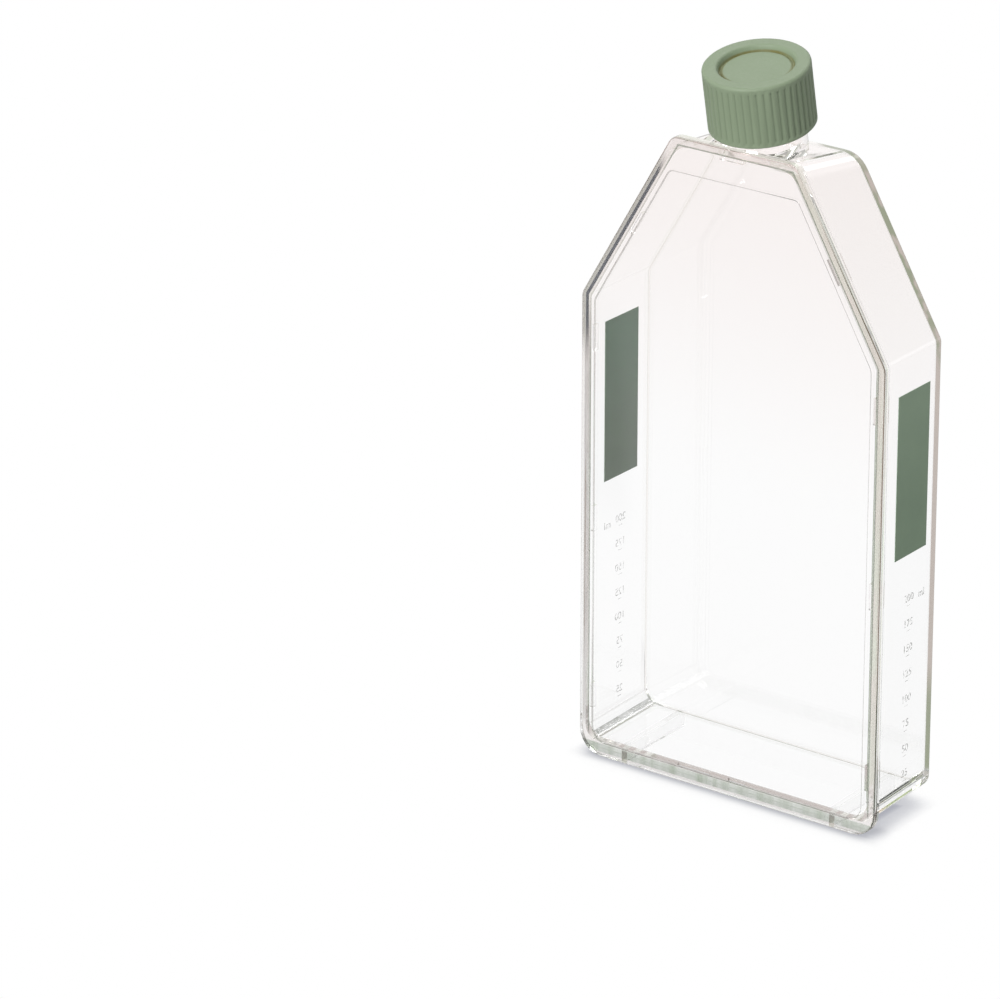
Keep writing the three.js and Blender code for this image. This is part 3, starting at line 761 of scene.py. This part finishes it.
def make_tray():
    """The tray with its neck: the flange's edge rounded, and the seam, the outer back edge and the
    round foot of each side wall finished apart, with painted shade on the rounded and back edges,
    the feet and the left of the seam."""
    piece = merged_copy("flask_body", "flask_tray_clear",
                        [clear_polystyrene("clear_tray_wall"),
                         clear_polystyrene("clear_tray_back_edge_shade", "back"),
                         clear_polystyrene("welded_seam_and_shade", "weld")])
    select_faces(piece, lambda f: f.normal.y < -0.9 and at(low_y(f), WELD_PLANE))
    finish_selected(piece, WELD_AND_SHADE_SLOT)
    # painted shade along the outer back edge and the round foot of each side wall
    select_faces(piece, lambda f: 0.15 < f.normal.y < 0.97 and low_y(f) > tray_high.y - 1.2 * MM
                 or -0.985 < f.normal.z < -0.66 and high_y(f) > FLANGE_BACK + 5 * MM
                 and abs(f.calc_center_median().x) > SIDE_FILLET)
    finish_selected(piece, SHADED_EDGE_SLOT)
    select_edges(piece, lambda f, g: f.normal.y > 0.9 and at(low_y(f), FLANGE_BACK)
                 and abs(g.normal.y) < 0.3 and at(low_y(g), WELD_PLANE))
    round_selected(FINE_ROUND, 2)
    smooth(piece)
    return piece


def make_cap():
    """The cap, with a fine groove sunk round the floor of its recess."""
    piece = merged_copy("screw_cap", "screw_cap_satin", [cap_plastic()])
    floor_area = math.pi * RECESS_RADIUS ** 2
    select_faces(piece, lambda f: f.normal.dot(CAP_AXIS) > 0.99
                 and abs(f.calc_area() / floor_area - 1) < 0.05
                 and (f.calc_center_median() - RECESS_FLOOR).length < 1 * MM)
    bpy.ops.transform.translate(value=-CAP_AXIS * GROOVE_DEPTH)
    bpy.ops.mesh.inset(thickness=GROOVE_WIDTH)
    bpy.ops.mesh.inset(thickness=GROOVE_RISE, depth=GROOVE_DEPTH)
    bpy.ops.object.mode_set(mode="OBJECT")
    smooth(piece, 32)
    return piece


def make_field(side, outwards, ink, underside):
    """A writing field, its inner face sunk a hair into the wall as ink that has bitten into it.
    That face, seen through the wall, has a darker copy of the ink as painted shade."""
    piece = merged_copy("writing_field_" + side, "writing_field_%s_ink" % side, [ink, underside])
    select_faces(piece, lambda f: f.normal.x * outwards < -0.9)
    bpy.ops.transform.translate(value=(-outwards * INK_BITE, 0, 0))
    # the inner face takes the underside's painted shade
    finish_selected(piece, UNDERSIDE_SHADE_SLOT)
    return piece


def printed_word(text, side, outwards, y, z, size):
    """One word of the scale on a side wall, read from outside, as a thin mesh."""
    bpy.ops.object.select_all(action="DESELECT")
    bpy.ops.object.text_add(location=(0, 0, 0))
    word = bpy.context.object
    word.data.body = text
    word.data.size = size
    word.data.align_x = "CENTER"
    word.data.align_y = "CENTER"
    word.data.resolution_u = 3
    word.data.extrude = PRINT_THICKNESS / 2
    bpy.ops.object.convert(target="MESH")
    word = bpy.context.object
    field_low, field_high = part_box("writing_field_" + side)
    widest = max(abs(field_low.x), abs(field_high.x)) - INK_STACK
    wall = widest - (y - field_low.y) * math.tan(WALL_LEAN)
    word.location = (outwards * (wall + PRINT_THICKNESS / 2 - PRINT_BITE), y, z)
    word.rotation_euler = (math.pi / 2, 0, outwards * (math.pi / 2 + WALL_LEAN))
    bpy.ops.object.transform_apply(location=True, rotation=True, scale=True)
    return word


def make_scale(side, outwards, ink):
    """The filling scale: numbers up the wall, a tick under each, the unit beside the top one."""
    field_low, field_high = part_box("writing_field_" + side)
    middle = (field_low.y + field_high.y) / 2
    words = []
    for i in range(8):
        height = SCALE_FOOT + i * SCALE_PITCH
        number = str(SCALE_STEP * (i + 1))
        words.append(printed_word(number, side, outwards, middle, height, NUMBER_SIZE))
        words.append(printed_word("_", side, outwards, middle, height - TICK_DROP, NUMBER_SIZE))
    unit = middle + outwards * UNIT_SHIFT
    words.append(printed_word("ml", side, outwards, unit, UNIT_HEIGHT, NUMBER_SIZE))
    bpy.ops.object.select_all(action="DESELECT")
    for word in words:
        word.select_set(True)
    bpy.context.view_layer.objects.active = words[0]
    bpy.ops.object.join()
    piece = bpy.context.object
    piece.name = piece.data.name = "filling_scale_" + side
    piece.data.materials.clear()
    piece.data.materials.append(ink)
    return piece


# ---------------------------------------------------------------- studio

def make_camera():
    data = bpy.data.cameras.new("camera")
    camera = bpy.data.objects.new("camera", data)
    bpy.context.scene.collection.objects.link(camera)
    data.lens = CAMERA_LENS
    data.sensor_width = 36.0
    data.clip_start, data.clip_end = 0.1, 50.0
    camera.location = CAMERA_PLACE
    camera.rotation_euler = (math.pi / 2 - CAMERA_DIP, 0, CAMERA_TURN)
    bpy.context.scene.camera = camera


def make_world():
    """White where it is seen, with a grey ceiling, a grey flag at the back right and a small bright
    soft box in the plastic's reflections, and a plain pale light on the object."""
    world = bpy.data.worlds.new("studio")
    bpy.context.scene.world = world
    world.use_nodes = True
    tree = world.node_tree
    tree.nodes.clear()
    link = tree.links.new
    path = add(tree, "ShaderNodeLightPath").outputs
    split = add(tree, "ShaderNodeSeparateXYZ")
    place = add(tree, "ShaderNodeTexCoord").outputs["Generated"]
    link(place, split.inputs[0])
    axes = split.outputs
    ceiling = soft(tree, axes["Z"], 0.45, 0.6, 0.0, CEILING_SHARE)
    flag = maths(tree, "MULTIPLY", soft(tree, axes["Z"], 0.16, 0.28),
                 soft(tree, axes["X"], 0.25, 0.5))
    towards = add(tree, "ShaderNodeVectorMath", operation="DOT_PRODUCT")
    link(place, towards.inputs[0])
    towards.inputs[1].default_value = SOFT_BOX
    seen = add(tree, "ShaderNodeBackground")
    through_one_piece = maths(tree, "LESS_THAN", path["Transmission Depth"],
                              SOFT_BOX_CROSSINGS)
    box = maths(tree, "MULTIPLY", through_one_piece,
                soft(tree, towards.outputs["Value"], *SOFT_BOX_EDGE))
    link(ranged(tree, box, 0.0, 1.0, 1.0, SOFT_BOX_STRENGTH), seen.inputs["Strength"])
    link(mix_colour(tree, maths(tree, "MAXIMUM", ceiling, flag), (1.0, 1.0, 1.0), CEILING_GREY),
         seen.inputs["Color"])
    white = add(tree, "ShaderNodeBackground", {"Color": (1, 1, 1, 1), "Strength": 1.0})
    lighting = add(tree, "ShaderNodeBackground", {"Color": (1, 1, 1, 1), "Strength": ROOM_LIGHT})
    shown = add(tree, "ShaderNodeMixShader")
    link(maths(tree, "MAXIMUM", path["Is Glossy Ray"], path["Is Transmission Ray"]),
         shown.inputs["Fac"])
    link(lighting.outputs[0], shown.inputs[1])
    link(seen.outputs[0], shown.inputs[2])
    final = add(tree, "ShaderNodeMixShader")
    link(path["Is Camera Ray"], final.inputs["Fac"])
    link(shown.outputs[0], final.inputs[1])
    link(white.outputs[0], final.inputs[2])
    out = add(tree, "ShaderNodeOutputWorld")
    link(final.outputs[0], out.inputs["Surface"])


def floor_reflectance(tree, path, axes):
    """How pale the floor is to the light: less in the front's reflections, with a dark card lying
    to the front left that takes the glare off a writing field, and less for light that it bounces
    back."""
    forward = maths(tree, "MULTIPLY", axes["Y"], -1.0)
    fall = ranged(tree, forward, *FLOOR_FALL)
    across = maths(tree, "ADD", axes["X"], maths(tree, "MULTIPLY", forward, CARD_SLANT))
    card = maths(tree, "MULTIPLY", soft(tree, across, *CARD_ACROSS),
                 band(tree, forward, *CARD_FORWARD))
    mirrored = maths(tree, "MULTIPLY", fall, ranged(tree, card, 0.0, 1.0, 1.0, CARD_SHARE))
    first = maths(tree, "MULTIPLY", path["Is Reflection Ray"],
                  maths(tree, "LESS_THAN", path["Glossy Depth"], FIRST_MIRRORINGS))
    either = add(tree, "ShaderNodeMix", data_type="FLOAT")
    either.inputs["A"].default_value = 1.0
    tree.links.new(first, either.inputs["Factor"])
    tree.links.new(mirrored, either.inputs["B"])
    bounce = add(tree, "ShaderNodeMix", data_type="FLOAT")
    bounce.inputs["B"].default_value = FLOOR_BOUNCE
    tree.links.new(path["Is Diffuse Ray"], bounce.inputs["Factor"])
    tree.links.new(either.outputs["Result"], bounce.inputs["A"])
    return bounce.outputs["Result"]


def make_floor():
    """A pale floor that keeps the shadow close round the foot, and shows plain white past it."""
    bpy.ops.object.select_all(action="DESELECT")
    bpy.ops.mesh.primitive_plane_add(size=FLOOR_SIZE, location=(0, 0, -FLOOR_GAP))
    floor = bpy.context.object
    floor.name = "floor"
    material, tree, out = new_material("pale_floor")
    link = tree.links.new
    path = add(tree, "ShaderNodeLightPath").outputs
    split = add(tree, "ShaderNodeSeparateXYZ")
    link(add(tree, "ShaderNodeTexCoord").outputs["Object"], split.inputs[0])
    axes = split.outputs
    card = add(tree, "ShaderNodeBsdfDiffuse")
    link(floor_reflectance(tree, path, axes), card.inputs["Color"])

    seen = maths(tree, "MAXIMUM", maths(tree, "MAXIMUM", path["Is Camera Ray"],
                                        path["Is Transmission Ray"]),
                 maths(tree, "GREATER_THAN", path["Glossy Depth"], FIRST_MIRRORINGS))
    glow = add(tree, "ShaderNodeEmission")
    link(maths(tree, "MULTIPLY", seen, FLOOR_LIFT), glow.inputs["Strength"])
    near = add(tree, "ShaderNodeAddShader")
    link(card.outputs[0], near.inputs[0])
    link(glow.outputs[0], near.inputs[1])

    middle = (cover_low.y + tray_high.y) / 2
    past_side = maths(tree, "SUBTRACT", maths(tree, "ABSOLUTE", axes["X"]), tray_high.x)
    past_front = maths(tree, "SUBTRACT", maths(tree, "ABSOLUTE",
                                               maths(tree, "SUBTRACT", axes["Y"], middle)),
                       tray_high.y - middle)
    from_foot = maths(tree, "MAXIMUM", past_side, past_front)
    clear = soft(tree, maths(tree, "ABSOLUTE", from_foot), 1.5 * MM, 9 * MM)
    hidden = add(tree, "ShaderNodeAmbientOcclusion", {"Distance": CONTACT_REACH}, samples=8)
    contact = maths(tree, "MULTIPLY", maths(tree, "MULTIPLY", path["Is Camera Ray"],
                                            soft(tree, hidden.outputs["AO"], 1.0, 0.45)),
                    soft(tree, from_foot, SHADOW_WIDTH, 0.0))
    white = add(tree, "ShaderNodeEmission", {"Strength": 1.0})
    link(mix_colour(tree, contact, (1.0, 1.0, 1.0), CONTACT_SHADE), white.inputs["Color"])
    whole = add(tree, "ShaderNodeMixShader")
    link(maths(tree, "MULTIPLY", maths(tree, "MAXIMUM", clear, SEEN_WHITE), seen),
         whole.inputs["Fac"])
    link(near.outputs[0], whole.inputs[1])
    link(white.outputs[0], whole.inputs[2])
    link(whole.outputs[0], out.inputs["Surface"])
    floor.data.materials.append(material)


def make_lamp(name, place, size, power):
    """A square lamp at a place, turned towards the flask."""
    data = bpy.data.lights.new(name, "AREA")
    data.shape = "RECTANGLE"
    data.size, data.size_y = size
    data.energy = power
    lamp = bpy.data.objects.new(name, data)
    bpy.context.scene.collection.objects.link(lamp)
    lamp.location = place
    aim = Vector(LAMP_TARGET) - Vector(place)
    lamp.rotation_euler = aim.to_track_quat("-Z", "Y").to_euler()


# ---------------------------------------------------------------- dressing

bpy.context.scene.view_settings.view_transform = "Standard"
make_camera()
make_world()
make_floor()
make_lamp("key", *KEY_LAMP)
make_lamp("back_light", *BACK_LAMP)

dress(make_cover(), "flask", "clear_cover", "cover_plate")
dress(make_tray(), "flask", "clear_tray", "flask_body")
dress(make_cap(), "cap", "cap_green", "screw_cap")
green_ink = field_ink("writing_field_ink", FIELD_GREEN, FIELD_LIT_TOP, FIELD_LIT_TURN)
# painted shade: a darker copy of the ink for the faces seen through the wall
underside_shade_ink = field_ink("writing_field_underside_shade", UNDERSIDE_SHADE_GREEN, UNDERSIDE_LIT_TOP, UNDERSIDE_LIT_TURN)
grey_ink = scale_ink()
for side, outwards in (("left", -1), ("right", 1)):
    dress(make_field(side, outwards, green_ink, underside_shade_ink), "flask", "ink", "writing_field_" + side)
    dress(make_scale(side, outwards, grey_ink), "flask", "ink")
